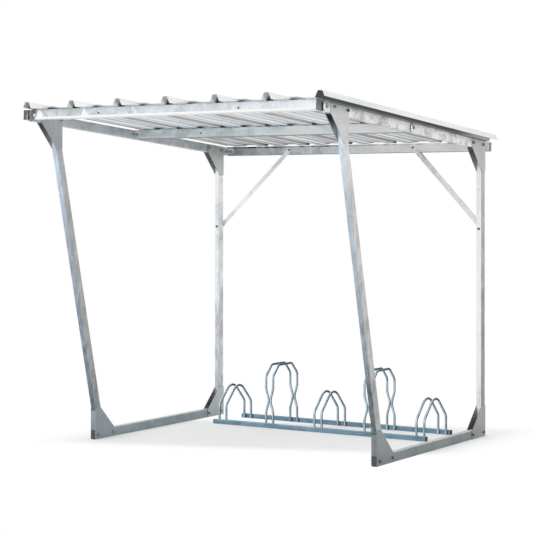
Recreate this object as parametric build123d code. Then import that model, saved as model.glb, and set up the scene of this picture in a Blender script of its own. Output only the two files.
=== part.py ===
from build123d import *
from math import asin, atan2, cos, hypot, radians, sin, tan
import os

# Open bicycle shelter: two side frames of rectangular tube, three purlins and two braces between them,
# a profiled steel roof that falls to the rear, and a free-standing rack with five places of two hoops.
# Millimetres, +X to the right, +Y to the rear, +Z up. The high open side faces -Y.
# The origin is on the ground below the middle of the whole outline. Until it is written, each piece
# is made with x from the middle between the side frames and y from the front end of the base beams.

# Side frames
frame_width = 2130.0            # over the outer faces of the two side frames' tubes
base_length = 1510.0            # base beam without its end caps
tube_width = 35.0               # frame tube, across
tube_depth = 60.0               # frame tube, in the upright plane of the side frame
tube_wall = 2.0
tube_corner = 4.0               # outer corner radius
post_lean = 13.25               # front post from upright, its head to the front, in degrees
seat_gap = 0.2                  # kept between a piece and the one that it is bolted to

# Fall of the roof, with lengths along it counted from above the front end of the base beams
underside_height = 2018.0       # rafters' underside, above the front end of the base beams
roof_slope = 4.25               # degrees
rafter_front = 634.0            # rafters' front ends, ahead of the base beams' front end
rafter_rear = 65.0              # rafters' rear ends, behind the base beams' rear end

# Folded corner brackets, each two cheeks and the web between them
plate = 3.0
fold_radius = 1.0               # inside the folds
bracket_reach = 205.0           # along the beam, from the web's outer face
bracket_height = 215.0          # from the beam's far face to the tip
bracket_crest = 48.0            # straight tip of the cheeks before their corners are rounded
web_tip = 26.0                  # web ends this far before the tip
crest_radius = 24.0
knee_radius = 10.0
cheek_lip = 2.0                 # cheeks stay this short of the beam's far face
front_web = 6.0                 # outer face of the front foot bracket's web, ahead of the base beam
notch_gap = 1.0                 # between the end of a web and the beam or cap beside it

# Purlins
purlin_size = 60.0
purlin_wall = 2.0
purlin_lift = 2.5               # purlins' tops above the rafters' tops
purlin_inset = 12.0             # ends of the front and rear purlins, in from the frames' outer faces
middle_purlin_front = 1058.0    # behind the rafters' front ends

# Angle brackets and clamp discs where the purlins meet the rafters
angle_leg = 54.0
angle_height = 46.0
angle_plate = 4.0
angle_bolt = 26.0               # bolts, from the corner of the angle bracket
angle_round = 14.0
disc_radius = 31.0
disc_rim = 3.0
disc_height = 7.0               # middle of the dished disc, from the rafter
disc_crown = 12.0               # radius of the flat in its middle
bolt_head_width = 17.0          # across flats
bolt_head_height = 6.0

# Roof sheets, side by side and lapped over a rib, as many whole ribs wide as the frames are
rib_pitch = 349.0
rib_height = 40.0
rib_top = 28.0
rib_base = 64.0
sheet_thickness = 1.0
sheet_fold = 2.0                # inside the folds
lap_gap = 0.2
outer_leg_end = 6.5             # edge of a sheet's outermost leg, above the pans
swage_height = 8.0
swage_top = 66.0
swage_base = 130.0
front_overhang = 57.0           # sheets, ahead of the front purlin
rear_setback = 26.0             # sheets end this far before the rafters' rear ends
roof_shift = 62.0               # middle of the roof, to the right of the middle between the frames

# Braces from the rear posts to the rear purlin
brace_spread = 996.0            # between the bolts on the purlin
brace_foot = 1381.0             # height of the bolt on the post
brace_width = 30.0
brace_flange = 24.0
brace_thickness = 3.0
foot_tab = 42.0                 # flat part at the post, from the bolt

# Rack
rack_front = 1062.0             # front rail, behind the base beams' front end
rack_depth = 398.0              # over both rails
rack_shift = 16.0               # middle of the rack, to the right of the middle between the frames
rail_length = 1660.0
rail_size = 30.0
rail_wall = 1.5
rail_corner = 3.0
place_count = 5
place_pitch = 388.0
hoop_spacing = 57.0             # between the middles of the two hoops of a place
hoop_radius = 8.0
foot_height = 1.0               # legs end this high above the ground
hoop_slope = 45.0               # slanted runs, from level, in degrees
low_height = 264.0
low_crown_radius = 86.0
high_height = 436.0
high_crown = 170.0              # level run of a high hoop between its corners
high_crown_radius = 34.0
shoulder_radius = 42.0
waist_height = 184.0            # where the two high hoops of a place meet
waist_reach = 80.0              # from the waist down and up to the bends of the legs
waist_gap = 0.3
waist_radius = 80.0
bend_radius = 80.0              # below and above the waist

# Plastic end caps
cap_flange = 4.0
cap_plug = 14.0
cap_edge = 1.5

# Places that follow from the sizes above
slope = radians(roof_slope)
lean = tan(radians(post_lean))
half_frame = frame_width / 2
tube_x = half_frame - tube_width / 2
level_depth = tube_depth / cos(slope)
post_depth = tube_depth / cos(radians(post_lean))
web_end = bracket_height - web_tip
bracket_x = tube_width / 2 + seat_gap
rear_post_y = base_length - tube_depth / 2
front_purlin_start = -rafter_front - seat_gap - purlin_size
rear_purlin_start = base_length + rafter_rear + seat_gap
middle_purlin_start = middle_purlin_front - rafter_front
purlin_level = purlin_lift + tube_depth - purlin_size
sheet_level = purlin_lift + tube_depth + seat_gap
roof_start = front_purlin_start - front_overhang
roof_length = base_length + rafter_rear - rear_setback - roof_start
rib_gaps = round(frame_width / rib_pitch)
rib_leg = (rib_base - rib_top) / 2          # level width of a rib's slanted leg
edge_x = rib_base / 2 - rib_leg * outer_leg_end / rib_height
edge_past = edge_x + sheet_thickness * rib_height / hypot(rib_leg, rib_height)
roof_half = rib_gaps * rib_pitch / 2 + edge_past
rack_rear = rack_front + rack_depth
leg_front = rack_front + rail_size + seat_gap + hoop_radius
leg_rear = rack_rear - rail_size - seat_gap - hoop_radius

# Places a shape in the roof's own plane: y along the fall and z from the rafters' underside
roof_plane = Pos(0, 0, underside_height) * Rotation(-roof_slope, 0, 0)


def fall_y(along, up):
    """y of a point in the roof's own plane."""
    return along * cos(slope) + up * sin(slope)


def fall_z(along, up):
    """Height of a point in the roof's own plane."""
    return underside_height - along * sin(slope) + up * cos(slope)


def underside_over(y, up=0.0):
    """Height over y of the plane that lies up above the rafters' undersides."""
    return underside_height + (up - y * sin(slope)) / cos(slope)


# Middle of the outline: from the clamp discs' bolts at the left to the roof's right edge, and from
# the roof's front edge to the round upper edge at the back of the rear purlin
left_edge = -(half_frame + seat_gap + disc_height + bolt_head_height)
middle_x = (left_edge + roof_shift + roof_half) / 2
flat = purlin_size - tube_corner
rear_edge = fall_y(rear_purlin_start + flat, purlin_level + flat) + tube_corner
middle_y = (fall_y(roof_start, sheet_level) + rear_edge) / 2


def save(shape, name):
    """Moves a piece over the origin and writes it."""
    export_step(Pos(-middle_x, -middle_y, 0) * shape, f"parts/{name}.step")


def save_pair(shape, name):
    """Writes a piece made about x = 0 on the right frame, and its mirror image on the left one."""
    right = Pos(tube_x, 0, 0) * shape
    save(right, "right_" + name)
    save(mirror(right, Plane.YZ), "left_" + name)


def upright_slab(points, half_width):
    """Solid between -half_width and half_width along X over an outline of (y, z) points."""
    face = make_face(Polyline(*[(0, y, z) for y, z in points], close=True))
    return extrude(face, amount=half_width, dir=(1, 0, 0), both=True)


def box_tube(width, depth, wall, corner, length):
    """Rectangular tube along Z with rounded corners and open ends."""
    outside = RectangleRounded(width, depth, corner)
    inside = RectangleRounded(width - 2 * wall, depth - 2 * wall, corner - wall)
    return extrude(outside - inside, amount=length)


def frame_tube(start, end):
    """Tube of a side frame between two (y, z) places."""
    run = (end[0] - start[0], end[1] - start[1])
    line = Plane(origin=(0, start[0], start[1]), x_dir=(1, 0, 0), z_dir=(0, run[0], run[1]))
    return line * box_tube(tube_width, tube_depth, tube_wall, tube_corner, hypot(run[0], run[1]))


def end_cap(width, depth, wall, corner):
    """Plastic cap of a tube that ends at z = 0: a flange over the end and a plug inside."""
    flange = Pos(0, 0, seat_gap) * extrude(RectangleRounded(width, depth, corner), amount=cap_flange)
    flange = chamfer(flange.faces().sort_by(Axis.Z)[-1].edges(), cap_edge)
    slack = 2 * (wall + seat_gap)
    plug = extrude(RectangleRounded(width - slack, depth - slack, corner - wall), amount=cap_plug + seat_gap)
    return flange + Pos(0, 0, -cap_plug) * plug


def capped_ends(cap, start, end, axis):
    """The two caps of a tube along an axis, between two points."""
    facing = {"x": (1, 0, 0), "y": (0, 1, 0)}[axis]
    across = {"x": (0, 1, 0), "y": (1, 0, 0)}[axis]
    back = tuple(-part for part in facing)
    return [Plane(origin=start, x_dir=across, z_dir=back) * cap,
            Plane(origin=end, x_dir=across, z_dir=facing) * cap]


def base_beams():
    """The two beams on the ground, and their caps."""
    middle = tube_depth / 2
    save_pair(frame_tube((0, middle), (base_length, middle)), "base_beam")
    cap = end_cap(tube_width, tube_depth, tube_wall, tube_corner)
    save_pair(Compound(capped_ends(cap, (0, 0, middle), (0, base_length, middle), "y")), "base_caps")


def post_room():
    """Space between the top of a base beam and the underside of its rafter."""
    low = tube_depth + seat_gap
    ends = (-rafter_front, base_length + rafter_rear)
    outline = [(ends[0], low), (ends[1], low)]
    outline += [(y, underside_over(y, -seat_gap)) for y in reversed(ends)]
    return upright_slab(outline, tube_width)


def front_post_face(z):
    """y of the leaning post's front face, which the foot bracket's web meets at its upper end."""
    return -front_web + plate + seat_gap + lean * (web_end - z)


def posts():
    """Leaning front posts and upright rear posts."""
    head = underside_height + rafter_front
    front = [(front_post_face(z) + post_depth / 2, z) for z in (0, head)]
    save_pair(frame_tube(*front) & post_room(), "front_post")
    save_pair(frame_tube((rear_post_y, 0), (rear_post_y, head)) & post_room(), "rear_post")


def rafters():
    """Sloping beams on the posts, from the front purlin to the rear purlin."""
    middle = tube_depth / 2
    tube = frame_tube((-rafter_front, middle), (base_length + rafter_rear, middle))
    save_pair(roof_plane * tube, "rafter")


def corner_bracket(edge, inward, far_face, upward, fall, depth):
    """Bracket folded round a post and the beam at its end.

    The web's outer face stands at y = edge, inward is the sense along y from it to the other post,
    far_face the height of the beam's far face there, upward the sense from that face to the tip, fall
    the drop of the beam for each millimetre of y, and depth the upright depth of the beam."""

    def along_beam(across, up):
        y = edge + inward * across
        return (y, far_face + upward * up - fall * (y - edge))

    def at_edge(across, up):
        return (edge + inward * across, far_face + upward * up)

    crest = (at_edge(0, bracket_height), at_edge(bracket_crest, bracket_height))
    knee = along_beam(bracket_reach, depth)
    outline = make_face(Polyline(*[(0, y, z) for y, z in (
        along_beam(0, cheek_lip), along_beam(bracket_reach, cheek_lip), knee, crest[1], crest[0])], close=True))
    tips = [v for v in outline.vertices() if abs(v.Z - crest[0][1]) < 1e-3]
    outline = fillet(tips, crest_radius)
    outline = fillet([v for v in outline.vertices() if abs(v.Y - knee[0]) + abs(v.Z - knee[1]) < 1e-3], knee_radius)
    sides = extrude(outline, amount=tube_width, dir=(1, 0, 0), both=True)

    length = 2 * bracket_reach
    outer = RectangleRounded(2 * (bracket_x + plate), length, fold_radius + plate)
    inner = RectangleRounded(2 * bracket_x, length, fold_radius)
    fold = Pos(0, length / 2) * outer - Pos(0, length / 2 + plate) * inner
    channel = extrude(fold, amount=2 * length, both=True)
    if inward < 0:
        channel = mirror(channel, Plane.XZ)
    channel = Pos(0, edge, far_face) * channel

    past = plate + fold_radius
    notch = [along_beam(-past, -past), along_beam(2 * past, -past),
             along_beam(2 * past, depth + notch_gap), along_beam(-past, depth + notch_gap)]
    above = [at_edge(-past, web_end), at_edge(2 * past, web_end),
             at_edge(2 * past, 2 * bracket_height), at_edge(-past, 2 * bracket_height)]
    return channel & sides - upright_slab(notch, bracket_x) - upright_slab(above, bracket_x)


def corner_brackets():
    """Brackets at the feet and heads of the posts."""
    save_pair(corner_bracket(-front_web, 1, 0, 1, 0, tube_depth), "front_foot_bracket")
    rear = base_length + seat_gap + plate
    save_pair(corner_bracket(rear, -1, 0, 1, 0, tube_depth), "rear_foot_bracket")
    top = underside_over(rear, tube_depth)
    save_pair(corner_bracket(rear, -1, top, -1, tan(slope), level_depth), "rear_head_bracket")
    # The front head's web meets the leaning post's rear face where the web ends: both are straight lines
    reach = front_post_face(underside_over(0, tube_depth) - web_end) + post_depth + seat_gap + plate
    edge = reach / (1 - lean * tan(slope))
    top = underside_over(edge, tube_depth)
    save_pair(corner_bracket(edge, -1, top, -1, tan(slope), level_depth), "front_head_bracket")


def purlin(half_length):
    """Square tube along X about x = 0, in the roof's own plane with its front lower edge at y = z = 0."""
    tube = box_tube(purlin_size, purlin_size, purlin_wall, tube_corner, 2 * half_length)
    line = Plane(origin=(-half_length, purlin_size / 2, purlin_size / 2), x_dir=(0, 1, 0), z_dir=(1, 0, 0))
    return line * tube


def purlins():
    """Three purlins, and the caps of the two outer ones."""
    half_outer = half_frame - purlin_inset
    half_inner = half_frame - tube_width - seat_gap
    cap = end_cap(purlin_size, purlin_size, purlin_wall, tube_corner)
    for name, start, half in (("front", front_purlin_start, half_outer),
                              ("middle", middle_purlin_start, half_inner),
                              ("rear", rear_purlin_start, half_outer)):
        place = roof_plane * Pos(0, start, purlin_level)
        save(place * purlin(half), f"{name}_purlin")
        if half == half_outer:
            middle = purlin_size / 2
            caps = capped_ends(cap, (-half, middle, middle), (half, middle, middle), "x")
            save(place * Compound(caps), f"{name}_purlin_caps")


def angle_bracket():
    """Angle in a corner at the origin: one leg along -X on the purlin, one along -Y on the rafter."""
    leg = Pos(-angle_leg / 2, 0) * Rectangle(angle_leg, angle_height)
    leg = fillet(leg.vertices().sort_by(Axis.X)[:2], angle_round)
    on_purlin = extrude(Plane(origin=(0, 0, 0), x_dir=(1, 0, 0), z_dir=(0, -1, 0)) * leg, amount=angle_plate)
    on_rafter = extrude(Plane(origin=(0, 0, 0), x_dir=(0, 1, 0), z_dir=(-1, 0, 0)) * leg, amount=angle_plate)
    return on_purlin + on_rafter


def purlin_brackets():
    """Angle brackets inside the corners between the rafters and the purlins."""
    x = half_frame - tube_width - seat_gap
    up = tube_depth / 2
    ahead = Pos(x, 0, up) * angle_bracket()
    behind = mirror(Pos(x, 0, up) * angle_bracket(), Plane.XZ)
    pieces = [Pos(0, front_purlin_start + purlin_size + seat_gap, 0) * behind,
              Pos(0, middle_purlin_start - seat_gap, 0) * ahead,
              Pos(0, rear_purlin_start - seat_gap, 0) * ahead]
    right = roof_plane * Compound(pieces)
    save(right, "right_purlin_brackets")
    save(mirror(right, Plane.YZ), "left_purlin_brackets")


def clamp_disc():
    """Dished disc with a hexagonal bolt head, its flat back at x = 0."""
    dish = RadiusArc((disc_radius, disc_rim), (disc_crown, disc_height), 2 * disc_radius)
    rim = Polyline((disc_crown, disc_height), (0, disc_height), (0, 0), (disc_radius, 0), (disc_radius, disc_rim))
    disc = revolve(Plane.XZ * make_face([dish, rim]), Axis.Z)
    head = extrude(RegularPolygon(bolt_head_width / 2, 6, major_radius=False), amount=bolt_head_height)
    head = Pos(0, 0, disc_height) * head
    return Plane(origin=(0, 0, 0), x_dir=(0, 1, 0), z_dir=(1, 0, 0)) * (disc + head)


def rafter_discs():
    """Clamp discs on the outer faces of the rafters, at the bolts of the front and middle purlins."""
    up = tube_depth / 2
    places = (-rafter_front + angle_bolt, middle_purlin_start + purlin_size / 2)
    right = roof_plane * Compound([Pos(half_frame + seat_gap, y, up) * clamp_disc() for y in places])
    save(right, "right_rafter_discs")
    save(mirror(right, Plane.YZ), "left_rafter_discs")


def moved_up(points, thickness):
    """Line of (x, z) points moved up by a thickness, square to its runs."""
    moved = []
    for i, (x, z) in enumerate(points):
        runs = [(points[k + 1][0] - points[k][0], points[k + 1][1] - points[k][1])
                for k in (i - 1, i) if 0 <= k < len(points) - 1]
        normals = [(-dz / hypot(dx, dz), dx / hypot(dx, dz)) for dx, dz in runs]
        sum_x = sum(n[0] for n in normals)
        sum_z = sum(n[1] for n in normals)
        scale = thickness * len(normals) / (sum_x ** 2 + sum_z ** 2)
        moved.append((x + sum_x * scale, z + sum_z * scale))
    return moved


def folded_sheet(points):
    """Face of a sheet on a line of (x, z) points, with round folds where the line turns."""
    inside = sheet_fold
    outside = sheet_fold + sheet_thickness
    below, above = [], []
    for before, here, after in zip(points, points[1:], points[2:]):
        turn = (here[0] - before[0]) * (after[1] - here[1]) - (here[1] - before[1]) * (after[0] - here[0])
        below.append(outside if turn > 0 else inside)
        above.append(inside if turn > 0 else outside)
    top = moved_up(points, sheet_thickness)
    under_line = FilletPolyline(*[(x, 0, z) for x, z in points], radius=below)
    upper_line = FilletPolyline(*[(x, 0, z) for x, z in top], radius=above)
    ends = [Line(under_line @ k, upper_line @ k) for k in (0, 1)]
    return make_face([under_line, upper_line] + ends)


def rib(middle, grow, left_open, right_open):
    """(x, z) points of a rib about x = middle, made larger all round by grow, with open outer legs."""
    slant = hypot(rib_leg, rib_height)
    top = rib_top / 2 + grow * (slant - rib_leg) / rib_height
    wider = grow * slant / rib_height
    edge = (edge_x + wider, outer_leg_end)
    foot = (rib_base / 2 + wider, 0)
    left = edge if left_open else foot
    right = edge if right_open else foot
    return [(middle - left[0], left[1]), (middle - top, rib_height + grow),
            (middle + top, rib_height + grow), (middle + right[0], right[1])]


def swage(middle):
    """(x, z) points of the shallow stiffener in a pan."""
    return [(middle - swage_base / 2, 0), (middle - swage_top / 2, swage_height),
            (middle + swage_top / 2, swage_height), (middle + swage_base / 2, 0)]


def roof_sheets():
    """Two sheets side by side: the right one laps over the left one's last rib."""
    lapped = rib_gaps // 2
    for name, first, last in (("left", 0, lapped), ("right", lapped, rib_gaps)):
        line = []
        for i in range(first, last + 1):
            middle = (i - rib_gaps / 2) * rib_pitch
            over = sheet_thickness + lap_gap if name == "right" and i == lapped else 0.0
            line += rib(middle, over, i == first, i == last)
            if i < last:
                line += swage(middle + rib_pitch / 2)
        sheet = extrude(folded_sheet(line), amount=roof_length, dir=(0, 1, 0))
        save(roof_plane * Pos(roof_shift, roof_start, sheet_level) * sheet, f"{name}_roof_sheet")


def braces():
    """Angle bars from the rear posts up to the rear purlin: bent strips with a flange between flat ends."""
    foot = (tube_x, base_length + seat_gap, brace_foot)
    up = purlin_level + purlin_size / 2
    head_x = brace_spread / 2
    head_z = fall_z(rear_purlin_start, up)
    run = hypot(head_x - foot[0], head_z - foot[2])
    rise = (head_z - foot[2]) / run
    level = (foot[0] - head_x) / run
    # The upper end clears the purlin's lower edge, and the flange stops below its underside
    back = fall_y(rear_purlin_start, purlin_level) - seat_gap - brace_thickness - foot[1]
    head_tab = (purlin_size / 2 + brace_width / 2 * level) / rise + notch_gap
    bends = [(foot_tab, 0), (run - head_tab, back)]
    strip = [(-brace_width, 0)] + bends + [(run + brace_width, back)]
    outline = strip + moved_up(strip, brace_thickness)[::-1]
    outline = make_face(Polyline(*[(x, 0, z) for x, z in outline], close=True))
    bar = extrude(outline, amount=brace_width / 2, dir=(0, 1, 0), both=True)
    bar = bar & extrude(Pos(run / 2, 0) * SlotCenterToCenter(run, brace_width), amount=2 * abs(back), both=True)
    edge = bends + moved_up(bends, brace_flange)[::-1]
    edge = make_face(Polyline(*[(x, 0, z) for x, z in edge], close=True))
    flange = extrude(edge, amount=brace_thickness, dir=(0, 1, 0))
    bar = bar + Pos(0, brace_width / 2 - brace_thickness, 0) * flange
    right = Plane(origin=foot, x_dir=(-level, 0, rise), z_dir=(0, 1, 0)) * bar
    save(right, "right_brace")
    save(mirror(right, Plane.YZ), "left_brace")


def rails():
    """Two rails on the ground in front of and behind the hoops' legs, and their caps."""
    tube = box_tube(rail_size, rail_size, rail_wall, rail_corner, rail_length)
    cap = end_cap(rail_size, rail_size, rail_wall, rail_corner)
    ends = (rack_shift - rail_length / 2, rack_shift + rail_length / 2)
    caps = []
    for name, y in (("front", rack_front + rail_size / 2), ("rear", rack_rear - rail_size / 2)):
        start, end = ((x, y, rail_size / 2) for x in ends)
        save(Plane(origin=start, x_dir=(0, 1, 0), z_dir=(1, 0, 0)) * tube, f"rack_{name}_rail")
        caps += capped_ends(cap, start, end, "x")
    save(Compound(caps), "rack_rail_caps")


def low_hoop():
    """Line of a low hoop in the plane x = 0: (y, z) corners and the radii that round them."""
    top = low_height - hoop_radius
    apex = top + low_crown_radius * (1 / cos(radians(hoop_slope)) - 1)
    half = (leg_rear - leg_front) / 2
    shoulder = apex - half * tan(radians(hoop_slope))
    corners = [(0, leg_front, foot_height), (0, leg_front, shoulder), (0, leg_front + half, apex),
               (0, leg_rear, shoulder), (0, leg_rear, foot_height)]
    return corners, [shoulder_radius, low_crown_radius, shoulder_radius]


def high_hoop():
    """Line of a high hoop: its legs lean inwards to the waist, where the place's two hoops meet."""
    top = high_height - hoop_radius
    slant = (leg_rear - leg_front - high_crown) / 2
    shoulder = top - slant * tan(radians(hoop_slope))
    # From a bend, the leg runs straight to the round waist, whose nearest point is inward by this much
    inward = hoop_spacing / 2 - hoop_radius - waist_gap / 2
    round_x = waist_radius - inward
    tilt = asin(waist_radius / hypot(round_x, waist_reach)) - atan2(round_x, waist_reach)
    leg = [(0, foot_height), (0, waist_height - waist_reach), (-waist_reach * tan(tilt), waist_height),
           (0, waist_height + waist_reach), (0, shoulder)]
    corners = [(x, leg_front, z) for x, z in leg] + [(0, leg_front + slant, top)]
    corners += [(0, leg_rear - slant, top)] + [(x, leg_rear, z) for x, z in reversed(leg)]
    bends = [bend_radius, waist_radius, bend_radius, shoulder_radius, high_crown_radius]
    return corners, bends + bends[::-1]


def hoops():
    """Bent tube hoops: places one, three and five are low, two and four high."""
    for place in range(place_count):
        middle = rack_shift + (place - (place_count - 1) / 2) * place_pitch
        corners, radii = high_hoop() if place % 2 else low_hoop()
        line = FilletPolyline(*corners, radius=radii)
        section = Plane(origin=line @ 0, x_dir=(1, 0, 0), z_dir=line % 0) * Circle(hoop_radius)
        right = Pos(hoop_spacing / 2, 0, 0) * sweep(section, path=line)
        left = mirror(right, Plane.YZ)
        height = "high" if place % 2 else "low"
        for side, hoop in (("left", left), ("right", right)):
            save(Pos(middle, 0, 0) * hoop, f"{height}_hoop_{place + 1}_{side}")


def main():
    os.makedirs("parts", exist_ok=True)
    base_beams()
    posts()
    rafters()
    corner_brackets()
    purlins()
    purlin_brackets()
    rafter_discs()
    roof_sheets()
    braces()
    rails()
    hoops()


main()
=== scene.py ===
# %% [markdown]
# # An open bicycle shelter in galvanised steel
# The shelter is two bolted frames of tube, three purlins, two braces and a roof of folded sheet, with a
# loose rack of bent hoops below it. Its shapes come from the CAD model, which stays where it is. This
# lesson adds the finishes, the light, and the small hardware: bolts, nuts, roof screws and weld beads.

import math

import bpy
import numpy as np
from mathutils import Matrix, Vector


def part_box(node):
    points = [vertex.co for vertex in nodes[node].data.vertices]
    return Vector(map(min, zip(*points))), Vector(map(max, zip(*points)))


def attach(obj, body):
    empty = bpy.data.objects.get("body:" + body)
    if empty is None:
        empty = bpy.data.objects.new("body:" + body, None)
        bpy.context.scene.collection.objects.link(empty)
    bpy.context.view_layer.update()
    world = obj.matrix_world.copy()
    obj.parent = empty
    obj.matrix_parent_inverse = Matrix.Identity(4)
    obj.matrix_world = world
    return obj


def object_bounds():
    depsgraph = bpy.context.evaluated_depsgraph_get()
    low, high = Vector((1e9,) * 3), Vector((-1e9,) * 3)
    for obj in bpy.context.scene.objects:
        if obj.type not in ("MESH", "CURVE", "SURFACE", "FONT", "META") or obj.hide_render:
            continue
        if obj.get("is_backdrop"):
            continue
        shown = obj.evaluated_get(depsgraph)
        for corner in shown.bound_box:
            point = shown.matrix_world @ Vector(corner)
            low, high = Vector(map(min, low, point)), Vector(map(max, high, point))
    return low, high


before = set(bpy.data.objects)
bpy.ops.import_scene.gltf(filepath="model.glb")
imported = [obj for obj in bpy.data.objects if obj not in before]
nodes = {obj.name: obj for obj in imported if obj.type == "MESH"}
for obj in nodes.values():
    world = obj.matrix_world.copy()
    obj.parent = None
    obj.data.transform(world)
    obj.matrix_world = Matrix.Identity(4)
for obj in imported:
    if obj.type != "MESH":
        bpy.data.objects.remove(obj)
cad_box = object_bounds()
print(len(nodes), "CAD nodes, box", [tuple(round(v, 4) for v in corner) for corner in cad_box])

# %% [markdown]
# ## Where things are
# Small hardware sits on the pieces that carry it, so its places are counted from those: x from the
# middle between the two side frames, y from the front end of the base beams. What lies in the roof's
# slope has a second helper, with a length along the fall and a height above the rafters' undersides.

# %% Places on the shelter
ROOF_SLOPE = math.radians(4.25)
UNDERSIDE = 2.018  # rafters' underside, above the front end of the base beams
TUBE_WIDTH = 0.035
TUBE_DEPTH = 0.060
TUBE_MIDDLE = 0.030  # middle of a purlin, up from the rafters' undersides
FRONT_PURLIN = -0.6942  # purlins' front faces, along the fall
MIDDLE_PURLIN = 0.424
REAR_PURLIN = 1.5752
RIB_PITCH = 0.349  # of the roof's sheets
ROOF_SHIFT = 0.062  # middle rib, to the right of the middle between the frames

left_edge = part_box("left_base_beam")[0].x
right_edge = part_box("right_base_beam")[1].x
middle_x = (left_edge + right_edge) / 2
half_frame = (right_edge - left_edge) / 2
front_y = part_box("right_base_beam")[0].y
base_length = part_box("right_base_beam")[1].y - front_y


def spot(x, y, z):
    """Scene place of a point counted from the middle between the frames and the base beams' front end."""
    return np.array([middle_x + x, front_y + y, z])


def on_slope(x, along, up):
    """Scene place of a point on the roof's slope: along the fall, and up from the rafters' undersides."""
    y = along * math.cos(ROOF_SLOPE) + up * math.sin(ROOF_SLOPE)
    z = UNDERSIDE - along * math.sin(ROOF_SLOPE) + up * math.cos(ROOF_SLOPE)
    return spot(x, y, z)


print("frames", round(2 * half_frame, 4), "m wide, base beams", round(base_length, 4), "m long")

# %% [markdown]
# ## The camera
# The picture was taken from the front right, a little below the roof, with a long lens from some ten
# metres away. The uprights stay parallel in it, so the camera looks level and its lens is shifted down
# instead of the camera being tilted. Place, heading, lens and shift follow from lines that were measured.

# %% Camera
IMAGE_SIDE = 533  # pixels, both ways
SENSOR = 36.0  # millimetres
FOCAL_PIXELS = 1640.26  # focal length, in pixels of the image
HORIZON_ROW = 201.27  # row of the image that the level line of sight meets
CAMERA_HEADING = 32.176  # degrees, from looking along +Y
CAMERA_PLACE = (5.65593, -8.52109, 1.5644)

lens = bpy.data.cameras.new("studio_camera")
lens.sensor_width = SENSOR
lens.lens = SENSOR * FOCAL_PIXELS / IMAGE_SIDE
lens.shift_y = (HORIZON_ROW - IMAGE_SIDE / 2) / IMAGE_SIDE
lens.clip_end = 200.0
camera = bpy.data.objects.new("studio_camera", lens)
camera.location = spot(*CAMERA_PLACE)
camera.rotation_euler = (math.radians(90), 0, math.radians(CAMERA_HEADING))
bpy.context.scene.collection.objects.link(camera)
bpy.context.scene.camera = camera
print("lens", round(lens.lens, 2), "mm, shift", round(lens.shift_y, 4))

# %% [markdown]
# ## Writing shader maths as plain arithmetic
# A material is a sheet of connected nodes. To keep the idea in view, a small class wraps one output
# socket and gives it the arithmetic operators: `1 - grain * 0.3` then places two Math nodes. Every other
# node comes from one method, which takes the node's type, its settings and its sockets' values or links.
# Two functions that every sheet needs follow: a smooth step between values and a mix of two colours.

# %% Wire and Finish
class Wire:
    """One output socket. Arithmetic on it adds Math nodes to the same sheet."""

    def __init__(self, finish, socket):
        self.finish = finish
        self.socket = socket

    def math(self, operation, first, second):
        return self.finish.add("ShaderNodeMath", {"operation": operation}, {0: first, 1: second})

    def __add__(self, other):
        return self.math("ADD", self, other)

    def __radd__(self, other):
        return self.math("ADD", other, self)

    def __sub__(self, other):
        return self.math("SUBTRACT", self, other)

    def __rsub__(self, other):
        return self.math("SUBTRACT", other, self)

    def __mul__(self, other):
        return self.math("MULTIPLY", self, other)

    def __rmul__(self, other):
        return self.math("MULTIPLY", other, self)


class Finish:
    """A sheet of shader nodes, for a material or for the world."""

    def __init__(self, tree):
        self.tree = tree
        self.tree.nodes.clear()

    def add(self, kind, settings=None, sockets=None, output=0):
        """Adds one node. Settings are made first, then each socket gets a number, a colour or a wire."""
        node = self.tree.nodes.new(kind)
        for name, value in (settings or {}).items():
            setattr(node, name, value)
        for name, value in (sockets or {}).items():
            if isinstance(value, Wire):
                self.tree.links.new(value.socket, node.inputs[name])
            else:
                node.inputs[name].default_value = value
        return Wire(self, node.outputs[output]) if len(node.outputs) else None

    def part(self, vector, axis):
        """The X, Y or Z part of a vector."""
        return self.add("ShaderNodeSeparateXYZ", sockets={0: vector}, output=axis)


def linear(red, green, blue):
    """Screen colour from 0 to 255 as the linear colour that a shader works with, by the sRGB curve."""
    parts = []
    for part in (red, green, blue):
        share = part / 255
        parts.append(share / 12.92 if share <= 0.04045 else ((share + 0.055) / 1.055) ** 2.4)
    return (*parts, 1.0)


def between(finish, value, low, high):
    """0 below low, 1 above high, with a smooth rise between them."""
    return finish.add("ShaderNodeMapRange", {"interpolation_type": "SMOOTHSTEP"},
                      {"Value": value, "From Min": low, "From Max": high})


def tinted(finish, factor, first, second):
    """Colour from first at factor 0 to second at factor 1."""
    return finish.add("ShaderNodeMix", {"data_type": "RGBA"}, {0: factor, 6: first, 7: second}, 2)


print("mid grey 188 is", round(linear(188, 188, 188)[0], 3), "in linear light")

# %% [markdown]
# ## A plain studio
# A white sweep and soft light, a little stronger from the front left. The world shows white to the
# camera, and so does the floor, apart from a slanted patch below the roof that keeps most of its soft
# shadow. Bare metal shows its surroundings: it mirrors a white room with a greyer back right and a dark
# back left, and a greyer ground. Without such differences the faces of a tube would all look alike.

# %% World, floor and lamps
ROOM_LIGHT = 0.88  # strength of the room's even light
BACK_RIGHT = (0.53, 0.85, 0.0)  # the greyer side of the room
ROOM_GREY = 0.94  # what metal mirrors of it
BACK_LEFT = (-0.53, 0.85, 0.0)  # a dark opening, which the edges of round tubes mirror
OPENING_GREY = 0.35
GROUND_WHITE = 0.86  # how much light the floor throws back
GROUND_GREY = 0.76  # what metal mirrors of it
FLOOR_REACH = 60.0  # half a side of the floor
FLOOR_LIFT = 0.20  # share of plain white in the shaded patch; around it the share is 1
SHADE_SLANT = 0.37  # the patch's front and rear edges, in y over x
SHADE_RIGHT = (-1.35, -1.00)  # each edge runs from where the shade starts to where it is full
SHADE_LEFT = (-1.50, -0.95)
SHADE_FRONT = (-0.37, -0.08)
SHADE_REAR = (-1.25, -0.90)

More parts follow.
